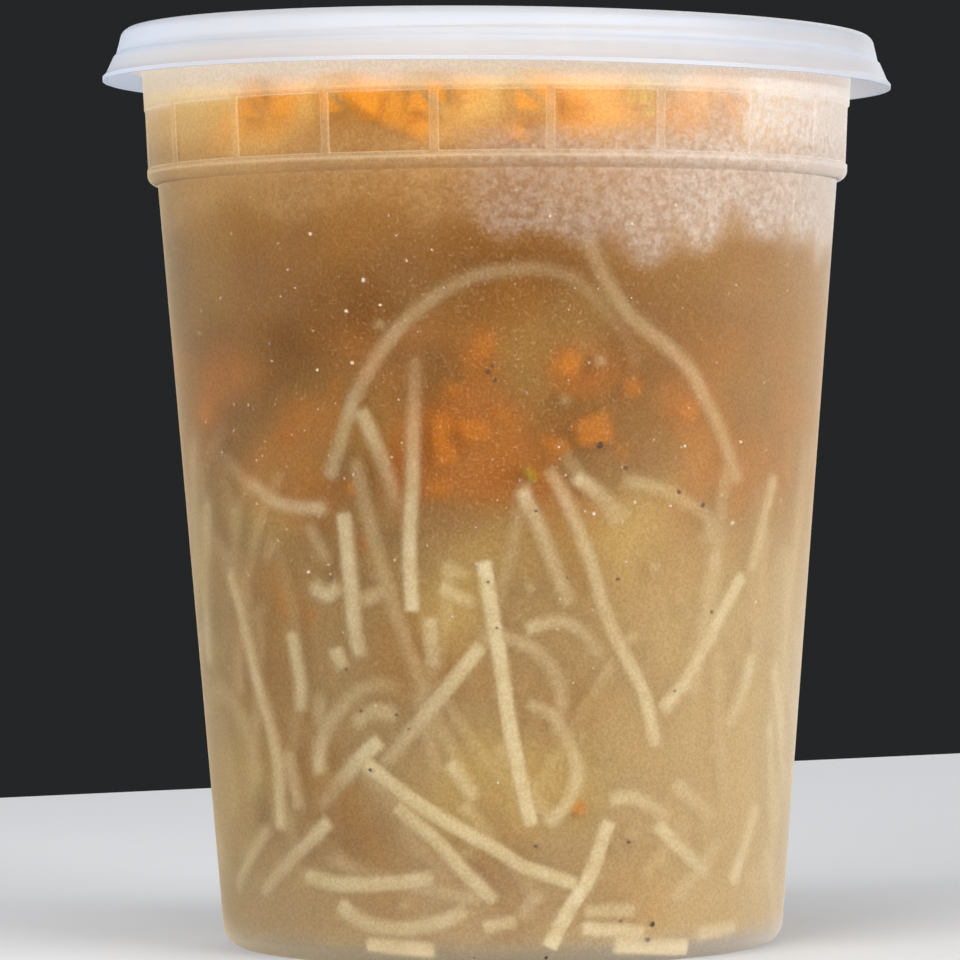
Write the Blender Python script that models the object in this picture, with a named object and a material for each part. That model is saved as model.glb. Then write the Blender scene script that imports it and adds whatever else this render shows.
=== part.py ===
"""Chicken noodle soup in a lidded translucent quart tub, as closed solids in metres, +Z up.

The tub stands on its foot ring at z = 0 with its axis on Z, and -Y is the side that faces the viewer.
"""

import math
import random

import bmesh
import bpy
from mathutils import Matrix, Vector

# Tub, outside. BODY_TAPER and BAND_TAPER are the radius gained per unit of height
FOOT_INNER_RADIUS = 0.0362
FOOT_RECESS = 0.0012
CORNER_RADIUS = 0.0034
BODY_BOTTOM_RADIUS = 0.0427
BODY_TAPER = 0.0803
SHOULDER_HEIGHT = 0.1157
SHOULDER_RADIUS = 0.0016
WINDOW_BOTTOM = 0.1180
WINDOW_TOP = 0.1271
WINDOW_DEPTH = 0.0003
BAND_TAPER = 0.045
FLANGE_HEIGHT = 0.1334
FLANGE_RADIUS = 0.0565
FLANGE_ROUND = 0.0009
FLANGE_CHAMFER = 0.0003
RIM_HEIGHT = 0.1358

# Tub, wall and ribs
WALL = 0.0009
FLOOR = 0.0011
RIB_COUNT = 20
RIB_WIDTH = 0.0009
RIB_PHASE = math.radians(8.3)
RIB_OVERLAP = 0.0004
WINDOW_EDGE = 0.0001
RIB_INSET = 0.00002

# Lid
LID_RADIUS = 0.0600
LID_SKIRT_HEIGHT = 0.1306
LID_TOP = 0.1385
LID_SHOULDER_RADIUS = 0.0574
LID_SHOULDER_ROUND = 0.0016
LID_RIDGE_HEIGHT = 0.1342
LID_RIDGE = 0.0004
LID_LIP_HEIGHT = 0.0006
LID_LIP_WIDTH = 0.0005
LID_PANEL_HEIGHT = 0.1362
LID_PLUG_RADIUS = 0.0517
LID_PLUG_SLOPE = 0.0012
LID_WALL = 0.0009
LID_TILT = math.radians(1.0)

# Soup
SOUP_LEVEL = 0.1295
MENISCUS = 0.0004
MENISCUS_WIDTH = 0.0014
GAP = 0.0003

# Dice of carrot and slices of celery that float at the top. FILM is the least broth between them and the wall
CARROT_SIZE = (0.0080, 0.0066, 0.0074)
CHAMFER = 0.0007
CELERY_OUTER, CELERY_INNER, CELERY_LENGTH = 0.0052, 0.0028, 0.0055
CELERY_SWEEP = math.radians(150)
CELERY_STEPS = 7
CELERY_THINNING = 0.3
FILM = 0.0014
PROUD = 0.0006
MOST_LEAN = math.radians(4)
MOST_TWIST = math.radians(3)
INNER_RING = 0.55
SEED = 7

# Turned faces
SEGMENTS = 72
MERGE = 0.00001
SHARP_ANGLE = math.radians(35)


def clear_scene():
    for obj in list(bpy.data.objects):
        bpy.data.objects.remove(obj)


def material(name, colour, roughness, alpha=1.0):
    made = bpy.data.materials.new(name)
    made.use_nodes = True
    shader = made.node_tree.nodes["Principled BSDF"]
    shader.inputs["Base Color"].default_value = (*colour, 1.0)
    shader.inputs["Roughness"].default_value = roughness
    shader.inputs["Metallic"].default_value = 0.0
    shader.inputs["Alpha"].default_value = alpha
    return made


def link(name, mesh, finish):
    """An object of this mesh and material in the scene's collection."""
    obj = bpy.data.objects.new(name, mesh)
    bpy.context.scene.collection.objects.link(obj)
    if finish is not None:
        mesh.materials.clear()
        mesh.materials.append(finish)
    return obj


def arc(centre, radius, start, end, steps):
    """Points (radius from the axis, height) along an arc, angles in degrees from outwards, +90 up."""
    points = []
    for i in range(steps + 1):
        angle = math.radians(start + (end - start) * i / steps)
        points.append((centre[0] + radius * math.cos(angle), centre[1] + radius * math.sin(angle)))
    return points


def turned(name, profile, finish):
    """A solid of revolution about Z. The profile starts and ends on the axis, running down its outer side."""
    mesh = bpy.data.meshes.new(name)
    edges = [(i, i + 1) for i in range(len(profile) - 1)]
    mesh.from_pydata([(r, 0.0, z) for r, z in profile], edges, [])
    obj = link(name, mesh, finish)
    screw = obj.modifiers.new("turn", "SCREW")
    screw.steps = SEGMENTS
    screw.render_steps = SEGMENTS
    screw.use_merge_vertices = True
    screw.merge_threshold = MERGE
    apply_modifiers(obj)
    return obj


def apply_modifiers(obj):
    """Replaces the object's mesh by the mesh that its modifiers make of it."""
    bpy.context.view_layer.update()
    graph = bpy.context.evaluated_depsgraph_get()
    mesh = bpy.data.meshes.new_from_object(obj.evaluated_get(graph))
    obj.modifiers.clear()
    obj.data = mesh
    obj.data.shade_smooth()
    obj.data.set_sharp_from_angle(angle=SHARP_ANGLE)


def boolean_with(obj, others, operation):
    """Joins the other objects to this one, or cuts them from it, and removes them."""
    group = bpy.data.collections.new(obj.name + "_tools")
    bpy.context.scene.collection.children.link(group)
    for other in others:
        bpy.context.scene.collection.objects.unlink(other)
        group.objects.link(other)
    boolean = obj.modifiers.new("tools", "BOOLEAN")
    boolean.operand_type = "COLLECTION"
    boolean.collection = group
    boolean.operation = operation
    boolean.solver = "EXACT"
    apply_modifiers(obj)
    for other in others:
        bpy.data.objects.remove(other)
    bpy.data.collections.remove(group)


def body_radius(z):
    """Outer radius of the tapered body at a height."""
    return BODY_BOTTOM_RADIUS + BODY_TAPER * (z - CORNER_RADIUS)


def band_radius(z):
    """Outer radius of the band above the shoulder at a height."""
    return body_radius(SHOULDER_HEIGHT) + SHOULDER_RADIUS + BAND_TAPER * (z - WINDOW_BOTTOM)


def inner_profile(inset):
    """The tub's inside from the floor's centre up to the flange, moved in by an inset."""
    wall = WALL + inset
    floor = FOOT_RECESS + FLOOR + inset
    corner = CORNER_RADIUS - 0.5 * WALL
    side = body_radius(floor + corner) - wall
    shoulder = (body_radius(SHOULDER_HEIGHT) - wall, SHOULDER_HEIGHT + SHOULDER_RADIUS + 0.4 * wall)
    return (
        [(0.0, floor)]
        + arc((side - corner, floor + corner), corner, -90, 0, 4)
        + arc(shoulder, SHOULDER_RADIUS, -90, 0, 3)
        + [(band_radius(FLANGE_HEIGHT) - wall, FLANGE_HEIGHT)]
    )


def outer_profile():
    """The tub's outside from the rim down to the centre of its base."""
    shoulder = (body_radius(SHOULDER_HEIGHT), SHOULDER_HEIGHT + SHOULDER_RADIUS)
    corner_centre = (BODY_BOTTOM_RADIUS - CORNER_RADIUS, CORNER_RADIUS)
    rim_inner = (band_radius(RIM_HEIGHT) - 0.4 * WALL, RIM_HEIGHT)
    flange = arc((FLANGE_RADIUS - FLANGE_ROUND, RIM_HEIGHT - FLANGE_ROUND), FLANGE_ROUND, 90, 0, 3)
    flange += [
        (FLANGE_RADIUS, FLANGE_HEIGHT + FLANGE_CHAMFER),
        (FLANGE_RADIUS - FLANGE_CHAMFER, FLANGE_HEIGHT),
        (band_radius(FLANGE_HEIGHT), FLANGE_HEIGHT),
    ]
    window = [
        (band_radius(WINDOW_TOP), WINDOW_TOP + WINDOW_EDGE),
        (band_radius(WINDOW_TOP) - WINDOW_DEPTH, WINDOW_TOP),
        (band_radius(WINDOW_BOTTOM) - WINDOW_DEPTH, WINDOW_BOTTOM),
        (band_radius(WINDOW_BOTTOM), WINDOW_BOTTOM - WINDOW_EDGE),
    ]
    step = arc(shoulder, SHOULDER_RADIUS, 0, -90, 4)
    corner = arc(corner_centre, CORNER_RADIUS, 0, -90, 5)
    foot = [(FOOT_INNER_RADIUS, 0.0), (FOOT_INNER_RADIUS - FOOT_RECESS, FOOT_RECESS), (0.0, FOOT_RECESS)]
    return [rim_inner] + flange + window + step + corner + foot


def rib(index):
    """One upright rib of the band, as proud as the frame round the windows and rooted in the wall."""
    mesh = bpy.data.meshes.new(f"rib_{index}")
    shape = bmesh.new()
    bmesh.ops.create_cube(shape, size=1.0)
    flat = math.cos(math.pi / SEGMENTS)
    for vert in shape.verts:
        z = WINDOW_TOP + RIB_OVERLAP if vert.co.z > 0 else WINDOW_BOTTOM - RIB_OVERLAP
        if vert.co.y < 0:
            radius = band_radius(z) * flat - RIB_INSET
        else:
            radius = band_radius(z) - WINDOW_DEPTH - 0.5 * WALL
        vert.co = Vector((math.copysign(0.5 * RIB_WIDTH, vert.co.x), -radius, z))
    turn = RIB_PHASE + 2 * math.pi * index / RIB_COUNT
    bmesh.ops.rotate(shape, verts=shape.verts, matrix=Matrix.Rotation(turn, 3, "Z"))
    shape.to_mesh(mesh)
    shape.free()
    return link(mesh.name, mesh, None)


def make_tub(finish):
    tub = turned("tub", inner_profile(0.0) + outer_profile(), finish)
    boolean_with(tub, [rib(i) for i in range(RIB_COUNT)], "UNION")


def lid_profile():
    """The lid's section: a sunken panel, a ring that holds the rim, and a skirt that flares to its lip."""
    under_top = LID_TOP - LID_WALL
    under_panel = LID_PANEL_HEIGHT - LID_WALL
    round_centre = (LID_SHOULDER_RADIUS - LID_SHOULDER_ROUND, LID_TOP - LID_SHOULDER_ROUND)
    top = [
        (0.0, LID_PANEL_HEIGHT),
        (LID_PLUG_RADIUS - 2 * LID_PLUG_SLOPE, LID_PANEL_HEIGHT),
        (LID_PLUG_RADIUS - 0.7 * LID_PLUG_SLOPE, LID_PANEL_HEIGHT + 0.3 * LID_WALL),
        (LID_PLUG_RADIUS + 0.3 * LID_PLUG_SLOPE, LID_TOP - 0.4 * LID_WALL),
        (LID_PLUG_RADIUS + 1.3 * LID_PLUG_SLOPE, LID_TOP),
    ]
    shoulder = arc(round_centre, LID_SHOULDER_ROUND, 90, 8, 4)
    skirt = [
        (LID_SHOULDER_RADIUS + 1.5 * LID_RIDGE, LID_RIDGE_HEIGHT + LID_RIDGE),
        (LID_SHOULDER_RADIUS + 2.5 * LID_RIDGE, LID_RIDGE_HEIGHT),
        (LID_RADIUS - LID_LIP_WIDTH, LID_SKIRT_HEIGHT + LID_LIP_WIDTH + LID_LIP_HEIGHT),
        (LID_RADIUS, LID_SKIRT_HEIGHT + LID_LIP_HEIGHT),
        (LID_RADIUS, LID_SKIRT_HEIGHT),
    ]
    inside = [
        (LID_RADIUS - LID_WALL, LID_SKIRT_HEIGHT),
        (LID_SHOULDER_RADIUS + 0.3 * LID_WALL, LID_RIDGE_HEIGHT - 0.5 * LID_RIDGE),
        (LID_SHOULDER_RADIUS - 0.8 * LID_WALL, LID_TOP - LID_SHOULDER_ROUND),
        (LID_SHOULDER_RADIUS - LID_SHOULDER_ROUND, under_top),
        (LID_PLUG_RADIUS + 1.5 * LID_PLUG_SLOPE, under_top),
        (LID_PLUG_RADIUS + 0.8 * LID_PLUG_SLOPE, under_top - 0.7 * LID_WALL),
        (LID_PLUG_RADIUS - 0.3 * LID_PLUG_SLOPE, under_panel),
        (0.0, under_panel),
    ]
    return top + shoulder + skirt + inside


def make_lid(finish):
    """The lid, pressed on unevenly: it sits lower at +X."""
    lid = turned("lid", [(r, z - LID_SKIRT_HEIGHT) for r, z in lid_profile()], finish)
    lid.location.z = LID_SKIRT_HEIGHT
    lid.rotation_euler.y = LID_TILT


def carrot_mesh(name, grow):
    """A chamfered die of carrot, grown by a clearance on every side."""
    mesh = bpy.data.meshes.new(name)
    shape = bmesh.new()
    bmesh.ops.create_cube(shape, size=1.0)
    bmesh.ops.scale(shape, vec=Vector([s + 2 * grow for s in CARROT_SIZE]), verts=shape.verts)
    bmesh.ops.bevel(shape, geom=shape.edges, offset=CHAMFER, segments=1, profile=0.5, affect="EDGES")
    shape.to_mesh(mesh)
    shape.free()
    return mesh


def celery_mesh(name, grow):
    """A crescent slice of celery stalk, lying on its cut face, grown by a clearance on every side."""
    mesh = bpy.data.meshes.new(name)
    shape = bmesh.new()
    rings = []
    middle = 0.5 * (CELERY_OUTER + CELERY_INNER)
    half_height = 0.5 * CELERY_LENGTH + grow
    for i in range(CELERY_STEPS + 1):
        share = i / CELERY_STEPS - 0.5
        angle = (CELERY_SWEEP + 2 * grow / middle) * share
        thinning = 1 - CELERY_THINNING * (2 * share) ** 2
        half_width = 0.5 * (CELERY_OUTER - CELERY_INNER) * thinning + grow
        inner, outer = middle - half_width, middle + half_width
        corners = [(inner, -half_height), (outer, -half_height), (outer, half_height), (inner, half_height)]
        spots = [(r * math.sin(angle), r * math.cos(angle) - middle, z) for r, z in corners]
        rings.append([shape.verts.new(spot) for spot in spots])
    for ring, after in zip(rings, rings[1:]):
        for k in range(4):
            shape.faces.new((ring[k], ring[(k + 1) % 4], after[(k + 1) % 4], after[k]))
    shape.faces.new(rings[0])
    shape.faces.new(list(reversed(rings[-1])))
    bmesh.ops.recalc_face_normals(shape, faces=shape.faces)
    shape.to_mesh(mesh)
    shape.free()
    return mesh


def soup_radius(z):
    """Radius of the soup's side at a height in the band."""
    return band_radius(z) - WALL - GAP


def floating_places():
    """(kind, matrix) of each floating piece: those that the front shows, then the rest round the back."""
    front = [
        ("celery", -68),
        ("carrot", -44),
        ("carrot", -27),
        ("carrot", -11),
        ("carrot", 6),
        ("celery", 25),
        ("carrot", 43),
    ]
    kinds = ["carrot", "celery", "carrot"]
    back = [(kinds[i % 3], 68 + 28 * i) for i in range(8)]
    inner = [(kinds[(i + 1) % 3], 20 + 72 * i) for i in range(5)]
    draw = random.Random(SEED)
    places = []
    for ring_share, pieces in ((1.0, front + back), (INNER_RING, inner)):
        for kind, degrees in pieces:
            places.append((kind, floating_place(kind, math.radians(degrees), ring_share, draw)))
    return places


def floating_place(kind, angle, ring_share, draw):
    """Matrix of one floating piece, its broad face to the wall and its top just out of the soup."""
    if kind == "carrot":
        width, depth, height = CARROT_SIZE
    else:
        width, depth, height = 2 * CELERY_OUTER, CELERY_OUTER - CELERY_INNER, CELERY_LENGTH
    reach = soup_radius(SOUP_LEVEL - height) - FILM
    radius = ring_share * (math.sqrt(reach**2 - (0.5 * width) ** 2) - 0.5 * depth)
    lean = draw.uniform(-MOST_LEAN, MOST_LEAN)
    twist = draw.uniform(-MOST_TWIST, MOST_TWIST)
    z = SOUP_LEVEL + PROUD - 0.5 * height - 0.5 * width * math.sin(abs(lean))
    spot = Vector((radius * math.sin(angle), -radius * math.cos(angle), z))
    facing_out = Matrix.Rotation(angle + twist + math.pi, 4, "Z")
    return Matrix.Translation(spot) @ facing_out @ Matrix.Rotation(lean, 4, "Y")


def make_soup(finish, places):
    """The broth up to its level, with a pocket for each floating piece."""
    side = [point for point in inner_profile(GAP) if point[1] < SOUP_LEVEL]
    edge = soup_radius(SOUP_LEVEL)
    top = [(0.0, SOUP_LEVEL), (edge - MENISCUS_WIDTH, SOUP_LEVEL), (edge, SOUP_LEVEL + MENISCUS)]
    soup = turned("soup", top + list(reversed(side)), finish)
    cutters = []
    for i, (kind, matrix) in enumerate(places):
        build = carrot_mesh if kind == "carrot" else celery_mesh
        cutter = link(f"pocket_{i}", build(f"pocket_{i}", GAP), None)
        cutter.matrix_world = matrix
        cutters.append(cutter)
    boolean_with(soup, cutters, "DIFFERENCE")


def make_floating(finishes, places):
    """Each floating piece as its own object, numbered by kind."""
    counts = {kind: 0 for kind in finishes}
    for kind, matrix in places:
        counts[kind] += 1
        name = f"{kind}_{counts[kind]:02d}"
        build = carrot_mesh if kind == "carrot" else celery_mesh
        obj = link(name, build(name, 0.0), finishes[kind])
        obj.matrix_world = matrix


def main():
    clear_scene()
    places = floating_places()
    make_tub(material("tub_plastic", (0.86, 0.84, 0.80), 0.35, 0.35))
    make_lid(material("lid_plastic", (0.90, 0.90, 0.92), 0.40, 0.75))
    make_soup(material("broth", (0.52, 0.34, 0.16), 0.30), places)
    carrot = material("carrot", (0.80, 0.30, 0.04), 0.45)
    celery = material("celery", (0.62, 0.56, 0.22), 0.45)
    make_floating({"carrot": carrot, "celery": celery}, places)


main()
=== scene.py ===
"""Looks of the chicken noodle soup in its frosted quart tub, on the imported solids, in metres."""

import math
import random

import bmesh
import bpy
from mathutils import Matrix, Vector, noise


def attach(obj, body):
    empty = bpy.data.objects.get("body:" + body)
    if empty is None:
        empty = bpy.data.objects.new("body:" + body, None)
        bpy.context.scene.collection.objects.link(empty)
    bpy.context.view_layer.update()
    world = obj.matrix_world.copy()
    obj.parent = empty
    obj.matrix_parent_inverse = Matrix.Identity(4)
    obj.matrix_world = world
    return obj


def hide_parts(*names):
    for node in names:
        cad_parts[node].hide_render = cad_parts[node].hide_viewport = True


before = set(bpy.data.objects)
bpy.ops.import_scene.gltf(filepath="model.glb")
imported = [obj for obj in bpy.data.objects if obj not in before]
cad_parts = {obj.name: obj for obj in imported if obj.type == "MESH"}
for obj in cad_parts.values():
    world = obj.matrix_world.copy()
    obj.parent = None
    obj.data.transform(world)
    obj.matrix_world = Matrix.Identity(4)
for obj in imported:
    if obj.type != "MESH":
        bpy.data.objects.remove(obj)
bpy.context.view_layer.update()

MM = 0.001

# Camera. The photograph is a square of 960 pixels, FOCAL is the lens in those pixels
PHOTO = 960
FOCAL = 5408
SENSOR_MM = 36
EYE = Vector((0, -0.826, 0.077))
PITCH = math.radians(0.445)
YAW = math.radians(0.207)
ROLL = math.radians(0.44)
RAY_ROUNDS = 12

# Studio: each lamp's place, size and power
LAMPS = {
    "key": ((1.1, -0.8, 0.34), 0.9, 20.0),
    "fill": ((-0.8, -1.0, 0.45), 0.9, 13.4),
    "top": ((-0.1, -0.2, 1.1), 0.9, 5.2),
    "back": ((0.2, 1.0, 0.6), 0.8, 3.2),
}
LAMP_AIM = Vector((0, 0, 0.07))
WORLD_COLOUR = (0.92, 0.96, 1.0, 1)
WORLD_STRENGTH = 0.02

# Table
TABLE_HALF = 2.0
TABLE_THICK = 0.03
TABLE_BACK = 0.41
TABLE_TURN = math.radians(32)

# Tub, as its solid has it
FOOT_INNER_RADIUS = 36.2 * MM
FOOT_RECESS = 1.2 * MM
CORNER_RADIUS = 3.4 * MM
BODY_BOTTOM_RADIUS = 42.7 * MM
BODY_TAPER = 0.0803
SHOULDER_HEIGHT = 115.7 * MM
SHOULDER_RADIUS = 1.6 * MM
WINDOW_BOTTOM = 118.0 * MM
WINDOW_TOP = 127.1 * MM
WINDOW_DEPTH = 0.3 * MM
BAND_TAPER = 0.045
FLANGE_HEIGHT = 133.4 * MM
FLANGE_RADIUS = 56.5 * MM
FLANGE_ROUND = 0.9 * MM
FLANGE_BEVEL = 0.3 * MM
RIM_HEIGHT = 135.8 * MM
WALL = 0.9 * MM
FLOOR = 1.1 * MM
RIB_COUNT = 20
RIB_WIDTH = 0.9 * MM
RIB_PHASE = math.radians(8.3)
EDGE = 0.32 * MM
LINE_WIDTH = 0.14 * MM
UPPER_LINE = WINDOW_TOP + 0.6 * MM
LOWER_LINE = WINDOW_BOTTOM - 0.5 * MM
INNER_CORNER = CORNER_RADIUS - 0.5 * WALL
BODY_ROWS = 30

# Lid, as its solid has it
LID_RADIUS = 60.0 * MM
LID_SKIRT_HEIGHT = 130.6 * MM
LID_TOP = 138.5 * MM
LID_SHOULDER_RADIUS = 57.4 * MM
LID_SHOULDER_ROUND = 1.6 * MM
LID_RIDGE_HEIGHT = 134.2 * MM
LID_RIDGE = 0.4 * MM
LID_LIP_HEIGHT = 0.6 * MM
LID_LIP_WIDTH = 0.5 * MM
LID_PANEL_HEIGHT = 136.2 * MM
LID_PLUG_RADIUS = 51.7 * MM
LID_PLUG_SLOPE = 1.2 * MM
LID_WALL = 0.9 * MM
LID_TILT = math.radians(1.0)
LID_COLUMNS = 240

# Where the lid's ridge and lip catch the light: height and width of the line
LID_LINES = (
    (LID_RIDGE_HEIGHT, 0.5 * MM),
    (LID_RIDGE_HEIGHT + 0.8 * MM, 0.25 * MM),
    (LID_SKIRT_HEIGHT + 0.2 * MM, 0.3 * MM),
)

# Soup
SOUP_LEVEL = 129.5 * MM
MENISCUS = 0.4 * MM
MENISCUS_WIDTH = 1.4 * MM
INTO_WALL = 0.3 * MM
CORE_DEPTH = 3.8 * MM
CORE_FLOOR = 0.4 * MM
CORE_EDGE = 0.7 * MM
CORE_RISE = 15.0 * MM
CORE_DROP = 0.5 * MM
HAZE_COLUMNS = 160
CORE_COLUMNS = 120
WATER = 1.33
FROST = 0.9
SEED = 11

# Colours by height, which is given as a share of RAMP_HEIGHT
RAMP_HEIGHT = 130 * MM
BROTH_COLOURS = (
    (0.02, (160, 133, 97)), (0.25, (151, 124, 85)), (0.45, (145, 114, 72)), (0.56, (120, 77, 36)),
    (0.68, (109, 68, 31)), (0.80, (124, 79, 36)), (0.875, (146, 99, 50)), (0.905, (158, 108, 60)),
    (0.93, (182, 128, 68)), (0.955, (216, 162, 84)), (0.985, (228, 184, 112)),
)
WALL_COLOURS = (
    (0.30, (240, 228, 214)), (0.50, (238, 214, 186)), (0.72, (238, 216, 190)), (0.88, (238, 233, 228)),
)

# Noodles, in the photograph's pixels: depth in mm behind the wall at both ends, then the route
FRONT_NOODLES = [
    (2.2, 3.4, (329, 478), (346, 420), (356, 393), (381, 350), (404, 322), (436, 295), (473, 276),
     (500, 271), (536, 268), (570, 277), (593, 295), (613, 318), (628, 338), (638, 369)),
    (2.7, 2.1, (588, 237), (598, 264), (613, 290), (633, 318), (664, 343), (690, 369), (705, 397),
     (723, 435), (740, 481)),
    (1.8, 3.0, (360, 410), (377, 448), (390, 485), (396, 507)),
    (2.9, 1.0, (415, 359), (413, 420), (412, 485), (409, 550), (412, 611)),
    (1.1, 2.2, (343, 513), (349, 572), (355, 637), (360, 655)),
    (2.1, 1.8, (249, 481), (268, 498), (294, 507), (325, 508)),
    (2.6, 2.6, (307, 524), (325, 559)),
    (2.6, 2.8, (275, 541), (262, 559)),
    (2.0, 1.8, (312, 585), (327, 596), (338, 585)),
    (2.4, 2.8, (362, 600), (396, 587)),
    (1.7, 2.2, (440, 587), (472, 604)),
    (2.4, 2.8, (442, 567), (468, 576)),
    (1.6, 1.4, (227, 572), (240, 615), (255, 680), (266, 717), (276, 762), (280, 829)),
    (1.5, 2.0, (290, 632), (299, 680), (300, 709)),
    (2.8, 3.2, (247, 617), (268, 606)),
    (1.5, 2.4, (429, 617), (433, 667)),
    (1.2, 0.9, (483, 561), (493, 620), (503, 680), (510, 729), (522, 786), (531, 825)),
    (0.8, 3.0, (481, 646), (445, 691), (396, 750), (372, 780)),
    (0.9, 2.8, (378, 742), (353, 766), (319, 807)),
    (1.2, 2.0, (327, 823), (294, 856), (262, 891)),
    (0.9, 1.2, (366, 764), (394, 786), (435, 815), (500, 852), (524, 867), (575, 884)),
    (1.3, 1.6, (396, 807), (435, 840), (466, 874), (494, 901)),
    (1.8, 3.2, (319, 774), (319, 748), (331, 721), (353, 695), (376, 684), (400, 688)),
    (2.0, 2.2, (355, 723), (374, 711), (394, 715)),
    (2.2, 2.4, (286, 752), (298, 809)),
    (1.8, 1.6, (266, 829), (247, 860), (235, 887)),
    (1.3, 1.5, (306, 876), (339, 884), (384, 884), (433, 878)),
    (1.5, 2.0, (339, 905), (364, 923), (404, 929), (445, 921), (466, 909)),
    (1.7, 2.6, (449, 762), (474, 799)),
    (1.9, 2.6, (521, 489), (539, 527), (557, 573), (570, 604)),
    (2.4, 1.3, (549, 468), (570, 509), (590, 560), (610, 624), (644, 694), (655, 745)),
    (1.7, 2.8, (575, 476), (600, 494), (626, 517)),
    (2.2, 2.6, (623, 481), (654, 486), (682, 499), (710, 519), (707, 542)),
    (1.3, 1.6, (776, 476), (766, 517), (753, 570)),
    (2.2, 2.6, (769, 530), (764, 598)),
    (2.0, 2.6, (718, 555), (705, 599)),
    (0.8, 1.8, (743, 576), (725, 609), (690, 675), (662, 710)),
    (2.0, 2.8, (526, 629), (557, 621), (582, 632), (600, 655)),
    (2.4, 2.0, (527, 704), (552, 715), (570, 745), (577, 775), (568, 802), (547, 825)),
    (1.4, 1.9, (754, 654), (742, 699), (728, 726)),
    (1.5, 2.6, (676, 784), (712, 816)),
    (1.0, 2.2, (657, 825), (680, 848), (708, 873)),
    (1.2, 1.0, (758, 807), (745, 848), (733, 885)),
    (1.1, 0.9, (609, 821), (589, 878), (570, 908), (549, 947)),
    (1.2, 1.2, (582, 929), (644, 931)),
    (1.3, 1.1, (699, 933), (735, 926)),
    (0.9, 0.9, (616, 945), (687, 947)),
    (1.9, 1.9, (584, 912), (634, 910)),
    (1.2, 1.4, (368, 944), (433, 950)),
    (1.6, 1.8, (484, 928), (516, 921)),
    (1.2, 2.0, (334, 648), (342, 668)),
    (2.6, 2.6, (237, 640), (235, 690)),
    (2.6, 2.8, (318, 695), (319, 728)),
    (2.8, 3.2, (221, 429), (201, 455), (190, 478)),
    (1.2, 1.3, (776, 662), (781, 720), (785, 777)),
    (1.4, 1.4, (771, 723), (776, 815)),
    (1.3, 1.5, (768, 853), (778, 925)),
    (2.6, 2.6, (536, 895), (520, 918)),
    (2.8, 3.0, (418, 690), (436, 770)),
    (1.8, 2.4, (610, 800), (632, 797), (650, 806), (672, 818)),
]
NOODLE_WIDTH = 2.3 * MM
NOODLE_THICKNESS = 1.3 * MM
NOODLE_STEP = 1.1 * MM
NOODLE_SIDES = 10
NOODLE_SQUARENESS = 0.6
NOODLE_TOP = 76 * MM
LYING_HEIGHT = 22 * MM
LOWEST_NOODLE = 4.2 * MM

# Noodles that the photograph doesn't place: how many, lowest and highest start, least and most depth in mm,
# and the height that those at the front stay below
LOOSE_NOODLES = (
    (190, 5 * MM, 66 * MM, 0.9, 3.4, 0.0),
    (120, 8 * MM, 70 * MM, 2.5, 3.6, NOODLE_TOP),
)

# Carrot dice seen through the wall: pixel, size in pixels, depth in mm
FRONT_CARROTS = [
    (565, 366, 27, 1.5), (593, 430, 36, 1.7), (554, 450, 30, 2.1), (632, 389, 24, 2.3), (689, 410, 24, 2.3),
    (718, 424, 30, 2.9), (503, 415, 26, 2.9), (474, 431, 30, 2.1), (443, 432, 30, 2.7), (448, 455, 26, 2.3),
    (440, 489, 34, 3.1), (485, 346, 28, 3.5), (455, 390, 34, 3.8), (286, 440, 30, 3.9),
    (354, 488, 20, 3.1), (368, 539, 20, 3.3), (290, 603, 32, 2.5), (312, 618, 20, 3.3), (340, 388, 32, 3.9),
    (265, 370, 32, 4.0), (206, 378, 30, 3.5), (232, 432, 34, 4.0), (776, 353, 30, 3.1), (760, 380, 34, 3.9),
    (797, 398, 30, 3.5), (800, 452, 34, 3.7), (735, 507, 30, 2.7), (796, 545, 34, 3.3), (674, 563, 24, 3.8),
    (577, 809, 15, 2.1), (543, 812, 11, 2.9), (648, 910, 12, 2.5), (318, 345, 26, 4.6), (660, 372, 24, 4.4),
    (392, 470, 24, 4.6), (285, 106, 34, 2.6), (366, 102, 40, 1.6), (402, 110, 38, 2.2),
    (416, 130, 32, 2.4), (572, 106, 24, 2.9), (735, 111, 30, 3.2), (250, 108, 30, 3.3), (520, 132, 30, 3.3),
    (480, 350, 40, 3.9), (545, 480, 30, 3.8), (420, 405, 30, 3.9), (620, 450, 26, 3.8), (575, 335, 26, 4.0),
]

# Bits of celery leaf and pale crumbs of chicken: pixel, size in pixels, depth in mm
FRONT_CELERY = [
    (362, 513, 20, 1.8), (531, 474, 26, 1.6), (728, 583, 26, 2.0), (470, 372, 24, 3.2), (690, 345, 34, 3.6),
    (345, 330, 34, 4.0), (648, 112, 30, 1.6),
]
FRONT_CRUMBS = [
    (379, 325, 15, 1.6), (600, 360, 15, 1.8), (564, 400, 14, 1.8), (529, 588, 13, 1.4), (654, 568, 18, 1.8),
    (631, 638, 14, 1.2), (682, 601, 16, 2.0), (258, 510, 14, 2.6), (583, 736, 13, 1.6), (603, 756, 13, 2.4),
    (661, 864, 14, 2.0), (633, 835, 20, 2.2), (618, 845, 14, 1.8), (328, 560, 14, 2.0), (470, 915, 16, 2.0),
    (538, 899, 16, 1.8), (410, 535, 14, 2.2), (268, 744, 20, 2.6), (693, 915, 16, 2.0), (405, 905, 20, 2.0),
    (730, 785, 13, 2.4), (352, 836, 14, 2.4),
]

# Sunk pieces: food, the ones in the photograph, then number, lowest and highest height and size in mm of the
# loose ones, then form and slot
SUNK_PIECES = {
    "carrot_dice": ("carrot_flesh", FRONT_CARROTS, 110, 56, 100, 4.6, "die", "carrot"),
    "celery_bits": ("celery_flesh", FRONT_CELERY, 50, 20, 126, 3.6, "flake", "celery"),
    "chicken_crumbs": ("chicken_crumb", FRONT_CRUMBS, 150, 6, 84, 2.2, "ball", "broth"),
}

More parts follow.
